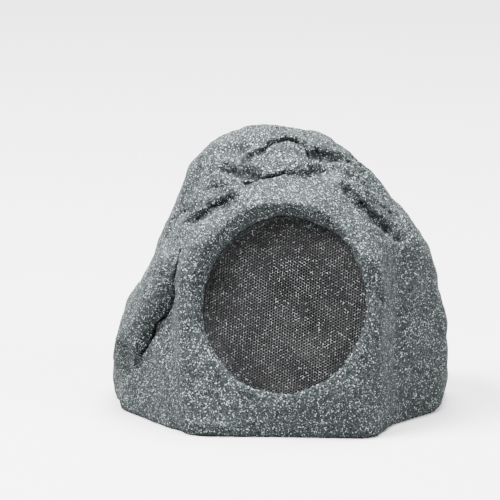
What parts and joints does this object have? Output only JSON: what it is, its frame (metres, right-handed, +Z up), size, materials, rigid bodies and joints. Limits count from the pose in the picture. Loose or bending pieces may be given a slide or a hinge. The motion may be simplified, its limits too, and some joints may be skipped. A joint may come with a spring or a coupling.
{
  "type": "rock shaped garden speaker",
  "caption": "Hollow moulded boulder with a recessed oval grille over a loudspeaker, closed by a base plate, with a cable gland at the back.",
  "frame": {"origin": "on the ground under the middle of the whole object", "axes": "+Z up, the grille faces -Y and leans back, +X to the right of someone looking at the grille"},
  "size_m": [0.3438, 0.3116, 0.2849],
  "materials": {
    "granite_fleck_coat": "rough fleck coat on moulded plastic",
    "grille_steel": "matt black coat with grey overspray",
    "black_moulding": "matt moulded black",
    "foam_rubber": "closed cell foam",
    "screw_steel": "plain zinc",
    "basket_steel": "black coat on pressed steel",
    "surround_rubber": "smooth matt rubber",
    "cone_plastic": "moulded polypropylene",
    "former_aluminium": "thin rolled sheet",
    "copper_winding": "enamelled copper",
    "spider_cloth": "resin treated cloth",
    "plated_steel": "turned and zinc plated",
    "ferrite": "sintered ferrite",
    "dome_cloth": "coated cloth",
    "tag_brass": "tinned",
    "strip_paper": "hard paper board",
    "board_laminate": "solder mask on laminate",
    "capacitor_sleeve": "shrunk sleeve",
    "resistor_ceramic": "fired ceramic",
    "terminal_plastic": "moulded",
    "wire_sleeve": "smooth wire insulation"
  },
  "bodies": {
    "housing": {"rock_shell": "granite_fleck_coat", "grille": "grille_steel", "base_plate": "black_moulding", "base_gasket": "foam_rubber", "base_screws": "screw_steel", "driver_gasket": "foam_rubber", "driver_basket": "basket_steel", "driver_screws": "screw_steel", "surround": "surround_rubber", "spider": "spider_cloth", "top_plate": "plated_steel", "magnet": "ferrite", "back_plate": "plated_steel", "tweeter_post": "former_aluminium", "tweeter_housing": "black_moulding", "tweeter_magnet": "ferrite", "tweeter_dome": "dome_cloth", "terminal_strip": "strip_paper", "terminal_tags": "tag_brass", "crossover_board": "board_laminate", "board_screws": "screw_steel", "crossover_capacitor": "capacitor_sleeve", "inductor_bobbin": "black_moulding", "inductor_winding": "copper_winding", "crossover_resistor": "resistor_ceramic", "input_terminal": "terminal_plastic", "cable_gland": "black_moulding", "gland_washer": "foam_rubber", "gland_nut": "black_moulding", "woofer_leads": "wire_sleeve", "tweeter_leads": "wire_sleeve"},
    "moving_cone": {"cone": "cone_plastic", "voice_coil_former": "former_aluminium", "voice_coil": "copper_winding"}
  },
  "joints": [
    {"name": "cone_travel", "type": "slide", "parent": "housing", "child": "moving_cone", "axis": [0, -0.9397, 0.342], "range_m": [-0.003, 0.003], "stiffness_N_per_m": 1000, "deforming": ["surround", "spider"]}
  ]
}
